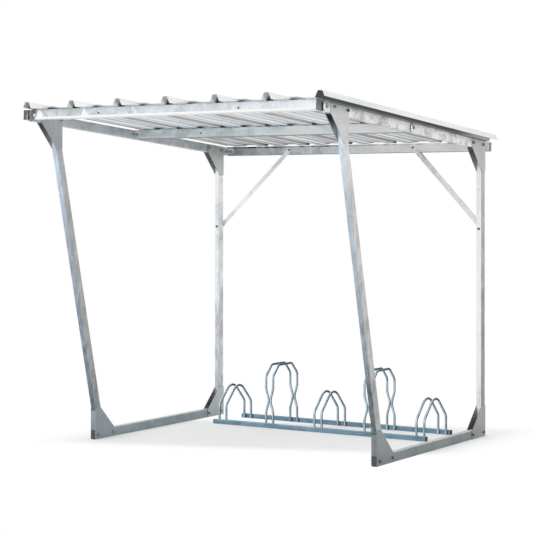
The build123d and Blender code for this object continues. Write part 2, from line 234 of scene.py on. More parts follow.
scene = bpy.context.scene
scene.view_settings.view_transform = "Standard"
room = bpy.data.worlds.new("studio_room")
room.use_nodes = True
scene.world = room

sky = Finish(room.node_tree)
heading = sky.add("ShaderNodeTexCoord", output="Generated")


def toward(direction, start, end):
    """0 where the room lies away from a direction, rising smoothly to 1 where it lies in that direction."""
    nearness = sky.add("ShaderNodeVectorMath", {"operation": "DOT_PRODUCT"}, {0: heading, 1: direction},
                       "Value")
    return between(sky, nearness, start, end)


mirrored = 1 - (1 - ROOM_GREY) * toward(BACK_RIGHT, -0.2, 0.95)
mirrored = mirrored - (1 - OPENING_GREY) * toward(BACK_LEFT, 0.55, 0.98)
seen = sky.add("ShaderNodeLightPath", output="Is Camera Ray")
gloss = sky.add("ShaderNodeLightPath", output="Is Glossy Ray")
strength = seen + (1 - seen) * (gloss * mirrored + (1 - gloss) * ROOM_LIGHT)
glow = sky.add("ShaderNodeBackground", sockets={"Color": (1, 1, 1, 1), "Strength": strength})
sky.add("ShaderNodeOutputWorld", sockets={"Surface": glow})


def lamp(name, place, aim, size, power):
    """Square area lamp that looks at a point. Metal mirrors the room and not the lamp itself."""
    light = bpy.data.lights.new(name, "AREA")
    light.size = size
    light.energy = power
    holder = bpy.data.objects.new(name, light)
    holder.location = place
    away = np.array(place, float) - np.array(aim, float)
    level = math.hypot(away[0], away[1])
    holder.rotation_euler = (math.atan2(level, away[2]), 0, math.atan2(away[0], -away[1]))
    holder.visible_glossy = False
    scene.collection.objects.link(holder)


lamp("key_lamp", (-4.2, -6.4, 4.6), (0, 0, 0.9), 3.2, 150)
lamp("fill_lamp", (6.5, -2.0, 3.6), (0, 0, 1.0), 3.0, 80)
lamp("top_lamp", (0.3, 0.2, 6.4), (0, 0, 0), 4.5, 90)

floor_mesh = bpy.data.meshes.new("studio_floor")
corners = [(-FLOOR_REACH, -FLOOR_REACH, 0), (FLOOR_REACH, -FLOOR_REACH, 0),
           (FLOOR_REACH, FLOOR_REACH, 0), (-FLOOR_REACH, FLOOR_REACH, 0)]
floor_mesh.from_pydata(corners, [], [(0, 1, 2, 3)])
floor_material = bpy.data.materials.new("studio_white")
floor_material.use_nodes = True
white = Finish(floor_material.node_tree)
in_metal = white.add("ShaderNodeLightPath", output="Is Glossy Ray")
ground = tinted(white, in_metal, (*[GROUND_WHITE] * 3, 1), (*[GROUND_GREY] * 3, 1))
matt = white.add("ShaderNodeBsdfDiffuse", sockets={"Color": ground})
lift = white.add("ShaderNodeEmission", sockets={"Strength": 1.0})
floor_place = white.add("ShaderNodeTexCoord", output="Object")
floor_x = white.part(floor_place, "X")
beyond = white.part(floor_place, "Y") - SHADE_SLANT * floor_x
under_roof = between(white, floor_x, *SHADE_LEFT) * between(white, 0 - floor_x, *SHADE_RIGHT)
under_roof = under_roof * between(white, beyond, *SHADE_FRONT) * between(white, 0 - beyond, *SHADE_REAR)
share = white.add("ShaderNodeLightPath", output="Is Camera Ray") * (1 - (1 - FLOOR_LIFT) * under_roof)
mixed = white.add("ShaderNodeMixShader", sockets={0: share, 1: matt, 2: lift})
white.add("ShaderNodeOutputMaterial", sockets={"Surface": mixed})
floor_mesh.materials.append(floor_material)
studio_floor = bpy.data.objects.new("studio_floor", floor_mesh)
scene.collection.objects.link(studio_floor)
studio_floor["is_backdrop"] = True

# %% [markdown]
# ## Patterns that zinc is made of
# Hot-dip zinc freezes into flat crystals, the spangle, each of which mirrors in its own direction.
# Over that lie soft clouds where the layer is thicker, and streaks from drawing, rolling and rain.
# Each is a function on the piece's own coordinates, in metres. Voronoi cells stand for the crystals
# because they too grow outwards from scattered points until they meet.

# %% Pattern helpers
LIGHTEST = (0.96, 0.96, 0.96)  # no finish throws back more light than this


def stretched(finish, place, factors):
    """The place with each axis multiplied: a small factor draws a pattern out along that axis."""
    return finish.add("ShaderNodeVectorMath", {"operation": "MULTIPLY"}, {0: place, 1: factors})


def clouds(finish, place, size, detail=2.0, roughness=0.5):
    """Soft random values about zero, in lumps of the given size in metres, mostly within -0.25 to 0.25."""
    return finish.add("ShaderNodeTexNoise", sockets={
        "Vector": place, "Scale": 1 / size, "Detail": detail, "Roughness": roughness}) - 0.5


def crystals(finish, place, size):
    """One random value from -0.5 to 0.5 for each crystal of the given size in metres."""
    cells = finish.add("ShaderNodeTexVoronoi", {"feature": "F1"}, {"Vector": place, "Scale": 1 / size},
                       "Color")
    return finish.part(cells, "X") - 0.5


def crystal_rims(finish, place, size):
    """Distance from the nearest boundary between crystals, in crystal sizes."""
    return finish.add("ShaderNodeTexVoronoi", {"feature": "DISTANCE_TO_EDGE"},
                      {"Vector": place, "Scale": 1 / size})


def shaded(finish, colour, factor):
    """A colour made lighter or darker by a factor, and kept below full white."""
    scaled = finish.add("ShaderNodeVectorMath", {"operation": "SCALE"}, {0: colour, "Scale": factor})
    return finish.add("ShaderNodeVectorMath", {"operation": "MINIMUM"}, {0: scaled, 1: LIGHTEST})


def wavy(finish, place, amount, size):
    """The place, shifted about by clouds, so that straight boundaries between crystals turn ragged."""
    drift = finish.add("ShaderNodeTexNoise", sockets={"Vector": place, "Scale": 1 / size, "Detail": 1.0},
                       output="Color")
    centred = finish.add("ShaderNodeVectorMath", {"operation": "SUBTRACT"}, {0: drift, 1: (0.5, 0.5, 0.5)})
    moved = finish.add("ShaderNodeVectorMath", {"operation": "SCALE"}, {0: centred, "Scale": amount})
    return finish.add("ShaderNodeVectorMath", {"operation": "ADD"}, {0: place, 1: moved})


def normal(finish):
    """The way that a face looks, without smoothing."""
    return finish.add("ShaderNodeNewGeometry", output="True Normal")


def facing_part(finish, axis):
    """1 on the faces square to an axis, 0 on the others."""
    part = finish.part(normal(finish), axis)
    return part * part


def by_facing(finish, ends, sides, level):
    """Colour by the way a face looks: painted light and shade, one tone for the light on each way that a
    face can turn. The squares of its normal's parts add up to 1, so they weigh the colour of faces that
    look to the front or rear, to the sides, and up or down."""
    facing = normal(finish)
    across = finish.part(facing, "X")
    upward = finish.part(facing, "Z")
    upright = tinted(finish, across * across, linear(*ends), linear(*sides))
    return tinted(finish, upward * upward, upright, linear(*level))


def started(name):
    """A new material's sheet, and the piece's own coordinates."""
    material = bpy.data.materials.new(name)
    material.use_nodes = True
    finish = Finish(material.node_tree)
    place = finish.add("ShaderNodeTexCoord", output="Object")
    return material, finish, place


def surfaced(finish, colour, metallic, roughness, height=None, depth=0.0):
    """Ends a sheet with the main shader, and a bump from a height in metres of the given depth."""
    sockets = {"Base Color": colour, "Metallic": metallic, "Roughness": roughness}
    if height is not None:
        sockets["Normal"] = finish.add("ShaderNodeBump", sockets={
            "Height": height, "Strength": 1.0, "Distance": depth})
    shader = finish.add("ShaderNodeBsdfPrincipled", sockets=sockets)
    finish.add("ShaderNodeOutputMaterial", sockets={"Surface": shader})


print("pattern helpers ready")

# %% [markdown]
# ## Galvanised steel, one recipe for all the tubes and plates
# Tubes, plates and purlins left the same bath, but they froze differently: thin sheet shows bright
# blotches, heavy beams stay dull and dark. One function makes them all from three tones for the three
# ways that a face can look, which are painted light and shade, each standing for the light on faces
# turned that way; the size of the crystals; and how strongly crystals, clouds and streaks show. Marks
# that belong to one piece come from a function of its own, which adds to the tone; most of them are
# painted light and shade.

# %% Galvanised recipe
USUAL_DRAW = (1.0, 1.0, 0.4)  # the crystals are drawn out upright, except where a recipe says otherwise
UPRIGHT_STREAKS = (60.0, 60.0, 3.0)  # stretch of the streaks, which run up and down
SPLASH = (0.02, 0.16)  # heights over which the rain's splash fades, in metres
SPLASH_TONE = linear(118, 119, 114)
ZINC_METALLIC = 0.78


def galvanised(name, ends, sides, level, crystal=0.030, show=0.5, streaks=0.5, drawn=USUAL_DRAW,
               sheen=0.40, rise=(0.0, 0.0, 0.0), centre=(0.0, 0.0, 1.0), grime=0.35, change=None):
    """Zinc whose tone is made lighter or darker by 1 + show * (crystals + clouds + streaks) + rise *
    distance from the centre, plus the piece's own change. The tones by facing are painted light and shade;
    the rise is a painted gradient of light along the purlins, and makes the posts lighter towards the top.
    Crystals are in metres, and drawn multiplies the axes that they are made on."""
    material, finish, place = started(name)
    ragged = wavy(finish, stretched(finish, place, drawn), crystal * 0.5, crystal * 0.7)
    large = crystals(finish, ragged, crystal)
    small = crystals(finish, place, crystal * 0.28)
    soft = clouds(finish, place, 0.16, 3.0)
    streak = clouds(finish, stretched(finish, place, UPRIGHT_STREAKS), 1.0, 3.0, 0.6)
    pattern = 0.5 * large + 0.25 * small + 1.5 * soft + streaks * streak
    offset = finish.add("ShaderNodeVectorMath", {"operation": "SUBTRACT"}, {0: place, 1: centre})
    climb = finish.add("ShaderNodeVectorMath", {"operation": "DOT_PRODUCT"}, {0: offset, 1: rise}, "Value")
    factor = 1 + show * pattern + climb
    if change is not None:
        factor = factor + change(finish, place, streak)
    colour = shaded(finish, by_facing(finish, ends, sides, level), factor)

    # Rain and dust leave the lowest parts duller, and fine specks sit everywhere
    height = finish.part(place, "Z")
    splash = (1 - between(finish, height + 0.12 * soft, *SPLASH)) * grime
    specks = between(finish, clouds(finish, place, 0.004, 2.0), 0.16, 0.28) * 0.2
    colour = tinted(finish, splash + specks, colour, SPLASH_TONE)

    rims = between(finish, crystal_rims(finish, ragged, crystal), 0.0, 0.05)
    roughness = sheen + 0.14 * large + 0.12 * soft + 0.25 * splash
    skin = 0.5 * clouds(finish, place, 0.018, 3.0) + 0.2 * rims + 0.15 * small
    surfaced(finish, colour, ZINC_METALLIC, roughness, skin, 0.0003)
    return material


def zinc_of(recipes, marks, **shared):
    """A finish for each named piece, from its own recipe, its marks where it has any, and shared values."""
    return {name: galvanised(name + "_zinc", *recipe, change=marks.get(name), **shared)
            for name, recipe in recipes.items()}


print("galvanised recipe ready")

# %% [markdown]
# ## Posts, beams and rafters
# The front posts lean forward, so their front faces mirror the ground and look bluer and darker
# towards the foot. The rafters froze slowly and show grey blotches, and the clamp discs shade the right
# one. The base beams are the dullest, apart from their upper faces.

# %% Finishes of the frame tubes
def leaning_faces(finish, place, streak):
    """Painted reflection: the front faces of the leaning posts mirror more of the ground the lower they are.
    """
    return 0.42 * (finish.part(place, "Z") - 1.15) * facing_part(finish, "Y")


def lit_front(finish, place, streak):
    """Painted light: the right rear post stands where its front face catches the most light."""
    return 0.22 * facing_part(finish, "Y")


def lit_top(finish, place, streak):
    """Painted light: the upper faces of the base beams catch the light from above."""
    return 0.28 * facing_part(finish, "Z")


DISC_SHADE = (0.035, 0.037)  # radii over which a disc's shade fades on the rafter
LIT_HALF = (-0.022, -0.010)  # ahead of the disc's middle, where the crescent ends
SHADED_END = (0.002, 0.004)  # behind the base beams' rear end, where the painted shade on the rafter's end begins


def disc_shade(finish, place, streak):
    """Painted shadow: dark crescents where the clamp discs shade the rafter, and painted shade on the end
    behind the rear bracket.
    """
    along_y = finish.part(place, "Y")
    shade = 0.60 * between(finish, along_y - (front_y + base_length), *SHADED_END)
    for purlin in (FRONT_PURLIN, MIDDLE_PURLIN):
        middle = on_slope(0, purlin + TUBE_MIDDLE, 0.0325)
        ahead = along_y - float(middle[1])
        above = finish.part(place, "Z") - float(middle[2])
        ring = 1 - between(finish, ahead * ahead + above * above, *[radius ** 2 for radius in DISC_SHADE])
        shade = shade + 0.75 * ring * (1 - between(finish, ahead, *LIT_HALF))
    return -1.0 * shade


# The first three entries of each piece are the tones of its front and rear, side, and upper and lower faces,
# set piece by piece to the light that falls on each: painted light and shade, so left and right copies
# differ.
post_tones = {
    "right_front_post": ((173, 185, 196), (201, 202, 201), (214, 216, 217)),
    "left_front_post": ((164, 178, 195), (184, 187, 187), (210, 212, 214)),
    "right_rear_post": ((255, 255, 255), (173, 174, 174), (224, 226, 227)),
    "left_rear_post": ((230, 238, 246), (222, 223, 222), (224, 226, 227))}
beam_tones = {
    "right_base_beam": ((132, 141, 144), (141, 151, 154), (255, 255, 255)),
    "left_base_beam": ((132, 141, 144), (158, 170, 174), (244, 247, 248))}
rafter_tones = {
    "right_rafter": ((200, 202, 202), (240, 241, 240), (216, 218, 218), 0.036, 1.0),
    "left_rafter": ((188, 194, 198), (207, 213, 217), (208, 212, 214), 0.036, 0.35)}
tube_marks = {
    "right_front_post": leaning_faces, "left_front_post": leaning_faces, "right_rear_post": lit_front,
    "right_base_beam": lit_top, "left_base_beam": lit_top, "right_rafter": disc_shade}
post_zinc = zinc_of(post_tones, tube_marks, crystal=0.030, show=0.55, streaks=1.2,
                    rise=(0.0, 0.0, 0.30), centre=(0.0, 0.0, 1.1))
beam_zinc = zinc_of(beam_tones, tube_marks, crystal=0.026, show=0.35, streaks=0.6,
                    drawn=(1.0, 0.5, 1.0), grime=0.12)
rafter_zinc = zinc_of(rafter_tones, tube_marks, streaks=0.2, drawn=(1.0, 0.8, 0.8))
print(len(post_zinc) + len(beam_zinc) + len(rafter_zinc), "finishes for posts, beams and rafters")

# %% [markdown]
# ## The purlins
# The front purlin is the brightest piece of the frame. It grows paler to the right in a painted gradient
# of light, and bright patches on its left half and its whole lower edge are painted reflections of the
# open sky; its left end is dull and streaked with a dark seam. The middle and rear purlins are cooler,
# darker to the left and on their undersides in painted shade, and the rear one has painted shade on its
# right end and under the sheets' ends. Such marks are not random, so they are placed one by one, as
# slanted or upright bands along the tube.

# %% Finishes of the purlins
purlin_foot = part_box("front_purlin")[0].z
rear_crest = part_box("rear_purlin")[1].z
# Painted reflections of the sky on the front purlin's face
BRIGHT_PATCHES = [  # left and right edge at the tube's foot, the same at its crest, strength
    ((-0.961, -0.884), (-0.934, -0.922), 1.0),
    ((-0.607, -0.529), (-0.584, -0.580), 1.0),
    ((-0.196, -0.158), (-0.224, -0.207), 0.5)]
DULL_LEFT = ((-1.20, -0.966), (-1.20, -0.950))
SEAM = ((-1.018, -1.008), (-1.018, -1.008))
# The rear purlin's right end, outside the rafter, gets painted shade
SHADED_RIGHT_END = ((1.010, 1.20), (1.010, 1.20))
BRIGHT_EDGE = (0.014, 0.019)  # above the front purlin's foot, where the painted highlight on the lower edge ends
SHADED_EDGE = (-0.013, -0.009)  # below the rear purlin's crest


def band(finish, place, low_edges, high_edges, soft=0.005):
    """1 between two slanted edges, whose x is given at the tube's lower and upper face."""
    share = (finish.part(place, "Z") - purlin_foot) * (1 / TUBE_DEPTH)
    left = low_edges[0] + (high_edges[0] - low_edges[0]) * share + middle_x
    right = low_edges[1] + (high_edges[1] - low_edges[1]) * share + middle_x
    x = finish.part(place, "X")
    return between(finish, x - left, -soft, soft) * (1 - between(finish, x - right, -soft, soft))


def front_marks(finish, place, streak):
    """Painted reflections in bright patches and a bright lower edge, a dull streaked left end and the dark
    seam in it.
    """
    bright = 0
    for low_edges, high_edges, strength in BRIGHT_PATCHES:
        bright = bright + strength * band(finish, place, low_edges, high_edges)
    dull = band(finish, place, *DULL_LEFT, 0.008)
    seam = band(finish, place, *SEAM, 0.003)
    lower_edge = 1 - between(finish, finish.part(place, "Z") - purlin_foot, *BRIGHT_EDGE)
    return 0.55 * bright + 0.8 * lower_edge * (1 - dull) - (0.50 - 1.8 * streak) * dull - 0.5 * seam


def rear_marks(finish, place, streak):
    """Painted shade: the right end, outside the rafter, is darker, and the sheets' ends shade the upper edge
    unevenly.
    """
    upper_edge = between(finish, finish.part(place, "Z") - rear_crest, *SHADED_EDGE)
    ragged = 1 + 5 * clouds(finish, stretched(finish, place, (1.0, 0.0, 0.0)), 0.09, 2.0)
    return -0.85 * band(finish, place, *SHADED_RIGHT_END) - 0.42 * upper_edge * ragged


purlin_recipes = {  # tones, crystal, show, streaks, drawn, sheen, rise
    "front_purlin": ((220, 225, 230), (176, 178, 180), (236, 238, 240), 0.034, 0.48, 0.3,
                     (0.7, 1.0, 0.7), 0.34, (0.20, 0.0, 0.0)),
    "middle_purlin": ((240, 252, 255), (190, 196, 200), (120, 124, 126), 0.040, 0.4, 0.3,
                      (0.6, 1.0, 1.0), 0.36, (0.30, 0.0, 0.0)),
    "rear_purlin": ((242, 246, 250), (190, 194, 196), (120, 123, 124), 0.040, 0.45, 0.3,
                    (0.6, 1.0, 1.0), 0.36, (0.52, 0.0, 0.0))}
purlin_zinc = zinc_of(purlin_recipes, {"front_purlin": front_marks, "rear_purlin": rear_marks})
print(len(purlin_zinc), "purlin finishes")

# %% [markdown]
# ## Brackets, discs and braces
# The folded plates are thinner than the tubes and cooled faster, so their crystals are small and their
# faces are smooth and even, with painted shade inside the folds. The round clamp discs are bright, with a
# dark bolt in the middle and a painted shadow crescent on the rim. Bolts, nuts and welds are too small and
# new to carry grime.

# %% Finishes of plates and small parts
PLATE_LEVEL = (176, 178, 178)  # tone of the faces that look up or down
INSIDE = (-0.014, -0.010)  # x from the tube's middle, times the normal: a cheek's inner face
BELOW_ROOF = (1.975, 2.045)  # heights over which the painted shade on the inner faces grows darkest, below the roof
plate_tones = {  # of the webs, and of the cheeks, per bracket after the light on it: painted light and shade
    "right_front_head": ((176, 178, 178), (214, 214, 212)),
    "right_rear_head": ((150, 152, 153), (195, 195, 194)),
    "left_front_head": ((140, 146, 152), (196, 197, 196)),
    "left_rear_head": ((136, 142, 148), (202, 205, 205)),
    "right_front_foot": ((146, 152, 158), (147, 151, 154)),
    "right_rear_foot": ((134, 140, 142), (168, 168, 168)),
    "left_front_foot": ((150, 160, 170), (161, 170, 174)),
    "left_rear_foot": ((140, 148, 152), (192, 198, 201))}


def folded_plate(sense):
    """Painted shade on one frame's brackets. Their webs show upright streaks. Inside the fold, where a
    cheek's normal looks back to the tube's middle, the plate gets painted shade, darkest below the roof."""
    def shade(finish, place, streak):
        facing = finish.part(normal(finish), "X")
        offset = finish.part(place, "X") - (middle_x + sense * (half_frame - TUBE_WIDTH / 2))
        inside = 1 - between(finish, facing * offset, *INSIDE)
        high = between(finish, finish.part(place, "Z"), *BELOW_ROOF)
        darkness = 0.22 + (0.60 if sense > 0 else 0.10) * high
        return 1.1 * streak * facing_part(finish, "Y") - darkness * inside
    return shade


plate_marks = {name: folded_plate(1 if "right" in name else -1) for name in plate_tones}
bracket_zinc = zinc_of(plate_tones, plate_marks, level=PLATE_LEVEL, crystal=0.012, show=0.30,
                       streaks=0.4, drawn=(1.0, 1.0, 1.0), sheen=0.46, grime=0.1)


def bolt_in_middle(finish, place, streak):
    """The bolt head stands further out than the disc it clamps, so x alone tells the two apart."""
    x = finish.part(place, "X") - middle_x
    return -0.62 * between(finish, x * x, *[(half_frame + past) ** 2 for past in (0.0073, 0.0079)])


# On the disc the front and rear faces of its rim are dark: a painted shadow crescent. On the cup head the
# face-on middle is a painted highlight and its edge a painted shade.
small_recipes = {  # tones, crystal, show, streaks, drawn, sheen
    "angle": ((226, 232, 235), (224, 230, 233), (214, 218, 220), 0.010, 0.4, 0.4),
    "brace": ((246, 247, 249), (242, 243, 246), (238, 240, 242), 0.020, 0.55, 0.6),
    "disc": ((84, 92, 94), (250, 251, 251), (150, 156, 158), 0.010, 0.4, 0.3, USUAL_DRAW, 0.32),
    "cup": ((252, 252, 252), (120, 124, 128), (160, 164, 168), 0.006, 0.2, 0.2, USUAL_DRAW, 0.30)}
clean_recipes = {
    "bolt": ((84, 94, 96), (90, 100, 102), (120, 130, 130), 0.004, 0.8, 0.3, USUAL_DRAW, 0.34),
    "nut": ((150, 164, 158), (158, 172, 166), (176, 186, 180), 0.004, 0.8, 0.3, USUAL_DRAW, 0.30),
    "weld": ((120, 140, 150), (116, 136, 146), (150, 166, 174), 0.003, 0.9, 0.2, USUAL_DRAW, 0.42)}
small_zinc = zinc_of(small_recipes, {"disc": bolt_in_middle}) | zinc_of(clean_recipes, {}, grime=0.0)
print(len(bracket_zinc), "bracket finishes, and those of angles, braces, discs, bolts, nuts and welds")

# %% [markdown]
# ## The roof's sheet
# Roof sheet is zinc coated in a rolling line, so its spangle is fine and it carries long faint lines
# along the slope. The weather side is pale and clean. The underside carries painted reflections of the
# shade below it, in bluish and white stripes, with a tan band beside each rib, painted light on its front
# edge and painted shade that deepens towards the rear. The ribs' hollows and the outermost rib's outer
# face carry painted light and shade: pale at the mouth, dark above the front purlin and grey behind it.
# Painted shadow lines run just in front of the middle and rear purlins. The face's own normal tells the
# sides and the ribs' flanks apart.

# %% Roof finish
SWAGE_PITCH = RIB_PITCH / 6  # shallow swages pressed in the pans, between two ribs
RIB_SIDE = (0.044, 0.060)  # from the middle of a rib to the edge of the tan band
OUTER_FLANK = (1.02, 1.06)  # from the middle between the frames to the outermost rib

# Distances from the sheets' front end, in metres
PAN_FADE = (0.3, 2.0)  # the pans' blue turns grey
LIP = (0.045, 0.080)  # the painted light on the front edge ends
MOUTH = (0.036, 0.070)  # a rib's hollow turns dark with painted shade
BEHIND = (0.118, 0.130)  # and grey behind the front purlin
REAR_PALE = (1.7, 2.2)  # the painted shade on the outermost flank turns pale
DUSK = (1.0, 1.9)  # painted shade deepens over the whole underside

middle_rib = middle_x + ROOF_SHIFT
sheet_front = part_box("right_roof_sheet")[0].y
middle_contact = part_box("middle_purlin")[0].y - sheet_front
rear_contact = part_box("rear_purlin")[0].y - sheet_front


def roof_finish(name, contacts):
    """Fine spangle and rolling lines along the slope, a pale top and an underside striped with painted
    reflections, whose stripes are the cosine of x over the swages' pitch. A painted shadow line runs ahead
    of each contact, which is given as its distance from the sheets' front end, the line's width and its
    strength."""
    material, finish, place = started(name)
    facing = normal(finish)
    across = finish.part(facing, "X")
    weather_side = between(finish, finish.part(facing, "Z"), -0.05, 0.05)
    rolled = clouds(finish, stretched(finish, place, (90.0, 0.8, 90.0)), 1.0, 3.0, 0.65)
    bands = clouds(finish, stretched(finish, place, (16.0, 0.5, 16.0)), 1.0, 2.0)
    spangle = crystals(finish, place, 0.006)
    soft = clouds(finish, place, 0.30, 3.0)
    pattern = 0.9 * rolled + 0.9 * bands + 0.05 * spangle + 0.7 * soft
    above = shaded(finish, linear(238, 239, 239)[:3], 1 + 0.3 * pattern)

    # Between the ribs the pan gets painted reflections of light and shade in turn, beside each rib it is
    # tan, and its front edge gets painted light
    x = finish.part(place, "X")
    inward = finish.part(place, "Y") - sheet_front
    aside = x - middle_rib
    swing = finish.add("ShaderNodeMath", {"operation": "COSINE"}, {0: aside * (2 * math.pi / SWAGE_PITCH)})
    stripe = between(finish, swing + 1.6 * rolled + 1.2 * bands, -0.5, 0.7)
    cool = tinted(finish, between(finish, inward, *PAN_FADE), linear(178, 196, 207), linear(168, 178, 186))
    below = tinted(finish, stripe, cool, linear(254, 254, 253))
    from_rib = finish.add("ShaderNodeMath", {"operation": "WRAP"},
                          {0: aside, 1: RIB_PITCH / 2, 2: -RIB_PITCH / 2})
    beside = 1 - between(finish, from_rib * from_rib, *[edge ** 2 for edge in RIB_SIDE])
    below = tinted(finish, 0.8 * beside, below, linear(198, 195, 190))
    lip = 1 - between(finish, inward, *LIP)
    below = tinted(finish, 0.75 * lip, below, linear(226, 228, 225))

    # Painted light and shade in the ribs' hollows and flanks, and on the outer face of the outermost rib
    flank = tinted(finish, between(finish, inward, *MOUTH), linear(250, 249, 242), linear(84, 90, 92))
    flank = tinted(finish, between(finish, inward, *BEHIND), flank, linear(182, 178, 173))
    outermost = between(finish, x - middle_x, *OUTER_FLANK)
    edge_shade = tinted(finish, between(finish, inward, *REAR_PALE), linear(62, 70, 74),
                        linear(176, 179, 180))
    flank = tinted(finish, outermost, flank, edge_shade)
    below = tinted(finish, between(finish, across * across, 0.10, 0.60), below, flank)
    below = shaded(finish, below, 1.14 - 0.24 * between(finish, inward, *DUSK) + 0.5 * pattern)

    # Painted shadow lines just in front of the purlins that the sheets lie on
    for contact, width, strength in contacts:
        line = between(finish, inward, contact - width, contact - 0.7 * width)
        line = line * (1 - between(finish, inward, contact + 0.002, contact + 0.004))
        line = line * strength * (1 - outermost)
        below = tinted(finish, line * (1 - 0.7 * stripe), below, linear(40, 42, 44))
    colour = tinted(finish, weather_side, below, above)
    roughness = 0.34 + 0.04 * spangle + 0.2 * rolled
    skin = 0.6 * rolled + 0.02 * spangle + 0.4 * bands
    surfaced(finish, colour, 0.70, roughness, skin, 0.00012)
    return material


roof_zinc = roof_finish("roof_zinc", ((middle_contact, 0.020, 0.85), (rear_contact, 0.080, 0.80)))
print("roof finish ready")

# %% [markdown]
# ## The rack's blue zinc
# The rack is plated rather than dipped: a thin, smooth, bright layer with a clear blue passivation. It
# It carries long dark and light streaks, painted reflections of the whole room, which a round tube
# mirrors in a narrow stripe; its tones by facing and the hoops' shaded side are painted light and shade
# as well.

# %% Rack finish
RIGHT_REAR = (0.85, 0.53)  # the way that a bar's shaded side looks


def rack_finish(name, ends, sides, level, shade=None):
    """Blue passivated zinc: blue-grey tones in streaks along the rails, which are painted reflections, with
    sharper gloss than dipped zinc. A round bar gets a painted shade where its normal turns to the right and
    rear."""
    material, finish, place = started(name)
    streak = clouds(finish, stretched(finish, place, (2.0, 14.0, 14.0)), 0.5, 3.0, 0.6)
    soft = clouds(finish, place, 0.09, 3.0)
    grain = crystals(finish, place, 0.004)
    tone = by_facing(finish, ends, sides, level)
    if shade is not None:
        facing = normal(finish)
        turned = RIGHT_REAR[0] * finish.part(facing, "X") + RIGHT_REAR[1] * finish.part(facing, "Y")
        tone = tinted(finish, between(finish, turned + 0.8 * soft, 0.0, 0.75), tone, linear(*shade))
    colour = shaded(finish, tone, 1 + 0.9 * streak + 0.8 * soft + 0.15 * grain)
    milky = between(finish, clouds(finish, place, 0.035, 4.0), 0.12, 0.26) * 0.3
    colour = tinted(finish, milky, colour, linear(196, 206, 210))
    roughness = 0.27 + 0.16 * soft + 0.2 * milky
    surfaced(finish, colour, 0.85, roughness, clouds(finish, place, 0.006, 3.0), 0.00012)
    return material


rail_zinc = rack_finish("rail_zinc", (130, 165, 184), (120, 150, 168), (186, 211, 223))
hoop_zinc = rack_finish("hoop_zinc", (200, 220, 231), (172, 197, 212), (216, 231, 239), (44, 68, 86))
print("two rack finishes ready")

# %% [markdown]
# ## Black plastic caps
# The tube ends are closed with moulded caps. Their fine eroded grain scatters the light, scuffs show
# grey, and the flats are lighter than the bevelled rim, in uneven patches. The purlins' caps stand high
# in the light and look greyer than those at the ground: they are painted light, lighter copies of the
# same black plastic.

# %% Cap finish
def plastic_finish(name, rim, flats):
    """Black plastic with a fine grain in the bump, grey scuffs, and a lighter tone in uneven patches on its
    flat faces, where the fourth powers of the normal's parts add up to nearly 1."""
    material, finish, place = started(name)
    squares = [facing_part(finish, axis) for axis in "XYZ"]
    flat = between(finish, sum(square * square for square in squares), 0.6, 0.95)
    grain = clouds(finish, place, 0.0009, 2.0)
    scratches = clouds(finish, stretched(finish, place, (40.0, 40.0, 160.0)), 1.0, 4.0, 0.7)
    scuffs = between(finish, scratches, 0.06, 0.22)
    flat_patches = clouds(finish, place, 0.02, 3.0)
    colour = tinted(finish, flat * (0.75 + flat_patches), linear(*rim), linear(*flats))
    colour = tinted(finish, scuffs * 0.35, colour, linear(128, 130, 136))
    roughness = 0.45 + 0.2 * scuffs + 0.1 * grain
    surfaced(finish, colour, 0.0, roughness, grain, 0.0003)
    return material


black_plastic = plastic_finish("black_plastic", (26, 27, 31), (80, 81, 89))
# The purlins' caps are lighter copies of the same black plastic: painted light
purlin_plastic = plastic_finish("purlin_plastic", (64, 62, 70), (128, 129, 140))
rear_plastic = plastic_finish("rear_plastic", (92, 104, 108), (128, 142, 148))
rack_plastic = plastic_finish("rack_plastic", (14, 14, 17), (38, 38, 42))
print("four plastic finishes ready")

# %% [markdown]
# ## Giving the CAD pieces their finishes
# Each CAD node keeps its shape. Its one material slot is given the finish of its kind, found by the
# words in its name. A list of pairs is enough: the first word that matches decides.

# %% Assign finishes
finish_by_word = [
    ("front_purlin_caps", purlin_plastic), ("rear_purlin_caps", rear_plastic),
    ("rack_rail_caps", rack_plastic), ("caps", black_plastic), ("rafter_discs", small_zinc["disc"]),
    ("purlin_brackets", small_zinc["angle"]), ("brace", small_zinc["brace"]),
    ("rail", rail_zinc), ("hoop", hoop_zinc), ("roof_sheet", roof_zinc)]
for group in (bracket_zinc, beam_zinc, post_zinc, rafter_zinc, purlin_zinc):
    finish_by_word += list(group.items())

for name, piece in nodes.items():
    finish = next(material for word, material in finish_by_word if word in name)
    piece.data.materials.clear()
    piece.data.materials.append(finish)
print("finishes given to", len(nodes), "nodes")

# %% [markdown]
# ## Small hardware, turned on a lathe
# A bolt head, a washer and a nut are all profiles carried round an axis, so one surface makes them: rows
# of a radius and a height, times the angle. A hexagon has its radius stretched towards the corners, with
# a 30 degree chamfer that cuts them, and a thread is a radius that rises and falls with the height and
# the angle together, which makes a true spiral.

# %% Turned surfaces
COLUMNS = 24
CHAMFER = math.radians(30)
turn = np.linspace(0, 2 * np.pi, COLUMNS, endpoint=False)
hexagon = 1 / np.cos(np.mod(turn, np.pi / 3) - np.pi / 6)


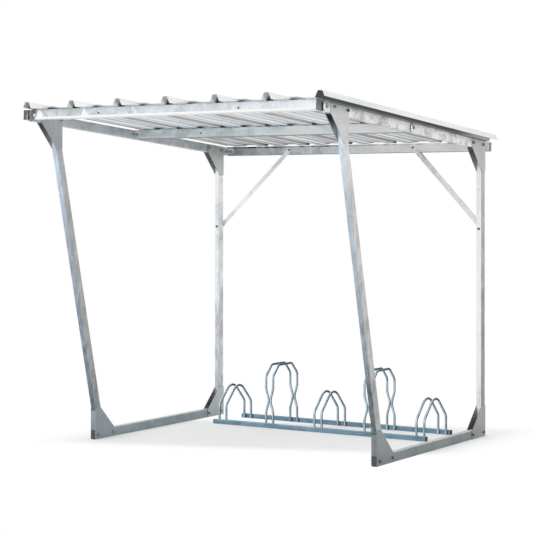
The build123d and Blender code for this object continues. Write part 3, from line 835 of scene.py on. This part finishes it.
def closed_turn(radius, height):
    """Closed surface from rows of radius r and height h over the angle: x = r cos(angle),
    y = r sin(angle), z = h. The first and the last row are single points on the axis."""
    rows = len(radius)
    x = radius * np.cos(turn)
    y = radius * np.sin(turn)
    ring = np.stack([x, y, height], axis=-1)[1:-1].reshape(-1, 3)
    points = np.concatenate([ring, [[0, 0, height[0, 0]], [0, 0, height[-1, 0]]]])
    index = np.arange((rows - 2) * COLUMNS).reshape(rows - 2, COLUMNS)
    beside = np.roll(index, -1, axis=1)
    quads = np.stack([index[:-1], index[1:], beside[1:], beside[:-1]], axis=-1).reshape(-1, 4)
    first, last = len(ring), len(ring) + 1
    top = np.stack([np.full(COLUMNS, first), index[0], beside[0]], axis=-1)
    base = np.stack([np.full(COLUMNS, last), beside[-1], index[-1]], axis=-1)
    return points, [*quads.tolist(), *top.tolist(), *base.tolist()]


def round_piece(profile):
    """A turned piece from (radius, height) rows, listed from the top down to the base."""
    rows = np.array(profile, float)
    radius = np.repeat(rows[:, :1], COLUMNS, axis=1)
    height = np.repeat(rows[:, 1:], COLUMNS, axis=1)
    return closed_turn(radius, height)


def hex_piece(across_flats, low, top, crown=0.47):
    """A hexagon prism from low to top whose corners fall off with a cone: beyond a circle of crown times
    the width over flats, the height sinks by the extra radius times the tangent of 30 degrees."""
    flat = across_flats / 2 * hexagon
    start = across_flats * crown
    sink = np.maximum(flat - start, 0) * math.tan(CHAMFER)
    middle = np.zeros(COLUMNS)
    circle = np.full(COLUMNS, start)
    radius = np.stack([middle, circle, flat, flat, circle, middle])
    level = np.ones(COLUMNS)
    height = np.stack([level * top, level * top, top - sink, low + sink * 0.3, level * low, level * low])
    return closed_turn(radius, height)


def thread_end(radius, low, top, pitch=0.0015):
    """A thread's end: the radius falls by two fifths of the pitch in a cosine of height over pitch minus
    the angle over a full turn."""
    steps = max(4, round((top - low) / pitch * 6))
    rise = np.linspace(top, low, steps)[:, None]
    wave = 0.5 - 0.5 * np.cos(2 * np.pi * rise / pitch - turn[None, :])
    groove = radius - 0.4 * pitch * wave
    groove = np.minimum(groove, radius - 0.0006 + (top - rise) * 0.9)
    ends = np.zeros((1, COLUMNS))
    radius_rows = np.concatenate([ends, groove, ends])
    height_rows = np.concatenate([ends + top, np.repeat(rise, COLUMNS, axis=1), ends + low])
    return closed_turn(radius_rows, height_rows)


def washer(radius, thickness, low=0.0):
    """A flat washer with eased edges."""
    ease = thickness * 0.3
    top = low + thickness
    return round_piece([(0, top), (radius * 0.5, top), (radius - ease, top), (radius, top - ease),
                        (radius, low + ease), (radius - ease, low), (0, low)])


def together(*shapes):
    """Several closed surfaces as one list of points and faces."""
    points, faces, count = [], [], 0
    for shape_points, shape_faces in shapes:
        points.append(shape_points)
        faces += [[index + count for index in face] for face in shape_faces]
        count += len(shape_points)
    return np.concatenate(points), faces


def set_at(shape, place, axis, spin=0.0):
    """A surface made about Z, turned by spin, then stood at a place with its axis along a direction."""
    axis = np.array(axis, float) / np.linalg.norm(axis)
    helper = np.array([0.0, 0.0, 1.0]) if abs(axis[2]) < 0.9 else np.array([0.0, 1.0, 0.0])
    across = np.cross(helper, axis)
    across /= np.linalg.norm(across)
    over = np.cross(axis, across)
    turned = across * math.cos(spin) + over * math.sin(spin)
    other = np.cross(axis, turned)
    points, faces = shape
    return points @ np.stack([turned, other, axis]) + place, faces


def new_piece(name, shape, material, smooth=35.0):
    """A mesh object from a surface, with its finish. It rides on the shelter's one body."""
    points, faces = shape
    mesh = bpy.data.meshes.new(name)
    mesh.from_pydata(points.tolist(), [], faces)
    mesh.update()
    mesh.set_sharp_from_angle(angle=math.radians(smooth))
    mesh.polygons.foreach_set("use_smooth", np.ones(len(mesh.polygons), bool))
    mesh.materials.append(material)
    piece = bpy.data.objects.new(name, mesh)
    scene.collection.objects.link(piece)
    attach(piece, "root")
    print(name, len(mesh.polygons), "faces")
    return piece


# %% [markdown]
# ## Bolts of the corner brackets
# Each folded bracket is held by two M10 bolts through the tube. Their heads with washers sit on the outer
# faces of the frames, and the nuts with the threads' ends on the inner faces, apart from one bolt that
# was put in the other way round. No two hexagons stop at the same turn, so each gets its own from a
# seeded random row.

# %% Bracket bolts
M10_FLATS = 0.017
M10_HEAD = 0.0064
M10_NUT = 0.0084
M10_WASHER = 0.010  # radius
M10_PLATE = 0.002  # the washer's thickness
SKIN = 0.0032  # cheek of a bracket on the tube, with its gap
turns = np.random.default_rng(7)

disc = washer(M10_WASHER, M10_PLATE)
head = hex_piece(M10_FLATS, M10_PLATE, M10_PLATE + M10_HEAD)
nut = together(hex_piece(M10_FLATS, M10_PLATE, M10_PLATE + M10_NUT),
               thread_end(0.005, M10_PLATE + M10_NUT - 0.001, M10_PLATE + M10_NUT + 0.005))


def bracket_bolt_places(x):
    """The eight places on one face of a side frame: two each at the feet and the heads."""
    feet = [spot(x, y, 0.030) for y in (0.026, 0.186, base_length - 0.189, base_length - 0.029)]
    heads = [on_slope(x, -0.516, 0.0395), on_slope(x, -0.361, 0.038), on_slope(x, 1.325, 0.031),
             on_slope(x, 1.480, 0.033)]
    return feet + heads


for side, sense in (("left", -1), ("right", 1)):
    outer = sense * (half_frame + SKIN)
    inner = sense * (half_frame - TUBE_WIDTH - SKIN)
    places = [(place, (sense, 0, 0)) for place in bracket_bolt_places(outer)]
    inside = [(place, (-sense, 0, 0)) for place in bracket_bolt_places(inner)]
    if side == "right":  # its front head bolt was put in the other way round
        places[4], inside[4] = inside[4], places[4]
    heads = [set_at(head, *place, turns.uniform(0, 1)) for place in places]
    nuts = [set_at(nut, *place, turns.uniform(0, 1)) for place in inside]
    washers = [set_at(disc, *place) for place in places + inside]
    new_piece(side + "_bracket_bolt_heads", together(*heads), small_zinc["bolt"])
    new_piece(side + "_bracket_nuts", together(*nuts), small_zinc["nut"])
    new_piece(side + "_bracket_washers", together(*washers), small_zinc["nut"])

# %% [markdown]
# ## Bolts of purlins, angles and braces
# Smaller M8 bolts join the rest: one in each leg of every angle bracket, and one at each end of the two
# braces. Four small M6 heads and a smooth cup head sit on the fronts of the purlins. They all stand
# square to the face they hold, so a face that lies in the roof's slope gets a direction in that slope.

# %% Bolts of purlins, angles and braces
M8_FLATS = 0.013
M8_HEAD = 0.0053
M8_NUT = 0.0065
M8_PLATE = 0.0016
M8_WASHER = 0.008
M6_FLATS = 0.010
M6_HEAD = 0.004
ANGLE_FACE = 0.0042  # plate of an angle bracket, with its gap
ANGLE_BOLT = 0.026  # from the corner of the angle
to_front = on_slope(0, -1, 0) - on_slope(0, 0, 0)

small_head = together(washer(M8_WASHER, M8_PLATE), hex_piece(M8_FLATS, M8_PLATE, M8_PLATE + M8_HEAD))
small_nut = together(washer(M8_WASHER, M8_PLATE), hex_piece(M8_FLATS, M8_PLATE, M8_PLATE + M8_NUT),
                     thread_end(0.004, M8_PLATE + M8_NUT - 0.001, M8_PLATE + M8_NUT + 0.0035, 0.00125))
cup_head = round_piece([(0, 0.0048), (0.0035, 0.0046), (0.0068, 0.0036), (0.0092, 0.0018), (0.0100, 0.0006),
                        (0.0100, 0), (0, 0)])

corner_x = half_frame - TUBE_WIDTH - 0.0002
shapes = []
for sense in (-1, 1):
    for face, way in ((FRONT_PURLIN + 0.0602, 1), (MIDDLE_PURLIN, -1), (REAR_PURLIN, -1)):
        on_purlin = on_slope(sense * (corner_x - ANGLE_BOLT), face + way * ANGLE_FACE, TUBE_MIDDLE)
        on_rafter = on_slope(sense * (corner_x - 0.004), face + way * ANGLE_BOLT, TUBE_MIDDLE)
        shapes.append(set_at(small_nut, on_purlin, -way * to_front, turns.uniform(0, 1)))
        shapes.append(set_at(small_nut, on_rafter, (-sense, 0, 0), turns.uniform(0, 1)))
new_piece("angle_bracket_nuts", together(*shapes), small_zinc["nut"])

purlin_bolts = [(-0.467, FRONT_PURLIN, 0.0275), (0.540, FRONT_PURLIN, 0.0275),
                (-0.4845, MIDDLE_PURLIN, 0.028), (0.520, MIDDLE_PURLIN, 0.028)]
tiny_head = hex_piece(M6_FLATS, 0, M6_HEAD)
shapes = [set_at(tiny_head, on_slope(*place), to_front, turns.uniform(0, 1)) for place in purlin_bolts]
new_piece("purlin_bolt_heads", together(*shapes), small_zinc["bolt"])
new_piece("purlin_cup_head", set_at(cup_head, on_slope(-0.969, FRONT_PURLIN, 0.029), to_front),
          small_zinc["cup"])

BRACE_BOLT = 1.381  # height of the lower bolt
BRACE_SPREAD = 0.996  # between the upper bolts
BRACE_PLATE = 0.0032  # the brace's flat end, with its gap
shapes = []
for sense in (-1, 1):
    post_x = sense * (half_frame - TUBE_WIDTH / 2)
    upper = on_slope(sense * BRACE_SPREAD / 2, REAR_PURLIN, 0.0325) - np.array([0, BRACE_PLATE, 0])
    shapes.append(set_at(small_head, upper, (0, -1, 0), turns.uniform(0, 1)))
    shapes.append(set_at(small_head, spot(post_x, base_length + BRACE_PLATE, BRACE_BOLT), (0, 1, 0), 0.3))
    shapes.append(set_at(small_nut, spot(post_x, base_length - TUBE_DEPTH, BRACE_BOLT), (0, -1, 0), 0.8))
new_piece("brace_bolts", together(*shapes), small_zinc["bolt"])

# %% [markdown]
# ## Roof screws
# The sheets are screwed down in their pans with self-drilling screws: an 8 mm hexagon on a flange, over
# a domed washer. They stand beside each rib, in one row over the front purlin and one over the middle
# purlin.

# %% Roof screws
RIB_COUNT = 7
SHEET_TOP = 0.0637  # upper face of a pan, up from the rafters' undersides
SCREW_ASIDE = 0.052  # from the middle of a rib
up_slope = on_slope(0, 0, 1) - on_slope(0, 0, 0)
screw = together(
    round_piece([(0, 0.0022), (0.0045, 0.0022), (0.0068, 0.0016), (0.0080, 0.0004), (0.0080, 0), (0, 0)]),
    round_piece([(0, 0.0034), (0.0050, 0.0034), (0.0056, 0.0028), (0.0056, 0.0018), (0, 0.0018)]),
    hex_piece(0.008, 0.0030, 0.0078))
shapes = []
for row in (FRONT_PURLIN + TUBE_MIDDLE, MIDDLE_PURLIN + TUBE_MIDDLE):
    for i in range(RIB_COUNT):
        rib = ROOF_SHIFT + (i - (RIB_COUNT - 1) / 2) * RIB_PITCH
        asides = [(-SCREW_ASIDE, i > 0), (SCREW_ASIDE, i < RIB_COUNT - 1)]
        shapes += [set_at(screw, on_slope(rib + aside, row, SHEET_TOP), up_slope, turns.uniform(0, 1))
                   for aside, there in asides if there]
new_piece("roof_screws", together(*shapes), small_zinc["nut"])

# %% [markdown]
# ## Welds of the hoops
# Every leg of a hoop is welded to the rail that it stands against, with a short upright bead on each side
# of the leg. A bead is a turned profile too: a thin spindle whose radius swells and sinks where the weld
# pool froze, drop by drop.

# %% Weld beads
HOOP_RADIUS = 0.008
BEAD_FOOT = 0.003  # above the ground
BEAD_LENGTH = 0.025
BEAD_DROPS = 9
BEAD_RADIUS = 0.0024
BEAD_ASIDE = 0.0062  # from the middle of the leg, along the rail
BEAD_SINK = 0.0008  # how far the bead's middle stands off the rail
share = np.linspace(1, 0, 34)[:, None]
outline = np.clip(1 - np.abs(2 * share - 1) ** 6, 0, 1) ** 0.5
ripple = 1 + 0.14 * np.cos(2 * np.pi * BEAD_DROPS * share + 0.6 * np.sin(turn[None, :]))
bead = closed_turn(BEAD_RADIUS * outline * ripple,
                   np.repeat(BEAD_FOOT + BEAD_LENGTH * share, COLUMNS, axis=1))

shapes = []
for name in sorted(nodes):
    if "_hoop_" not in name:
        continue
    low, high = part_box(name)
    # A low hoop stands upright. A high hoop's legs stand at the side of its box away from its partner
    outside = low.x if name.endswith("left") else high.x
    leg_x = outside + (HOOP_RADIUS if name.endswith("left") else -HOOP_RADIUS)
    for rail, way in (("rack_front_rail", 1), ("rack_rear_rail", -1)):
        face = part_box(rail)[1].y if way > 0 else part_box(rail)[0].y
        for aside in (-BEAD_ASIDE, BEAD_ASIDE):
            shapes.append(set_at(bead, np.array([leg_x + aside, face + way * BEAD_SINK, 0.0]), (0, 0, 1)))
new_piece("hoop_welds", together(*shapes), small_zinc["weld"], 60.0)

# %% [markdown]
# ## Last look at the sizes
# The bolts on the outer faces stay behind the clamp discs and under the roof's edge, so that the
# finished model keeps the CAD part's box. Both boxes are written down side by side.

# %% Sizes and finish
visual_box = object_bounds()
for label, box in (("CAD", cad_box), ("visual", visual_box)):
    print(label, "box", [tuple(round(value, 4) for value in corner) for corner in box])
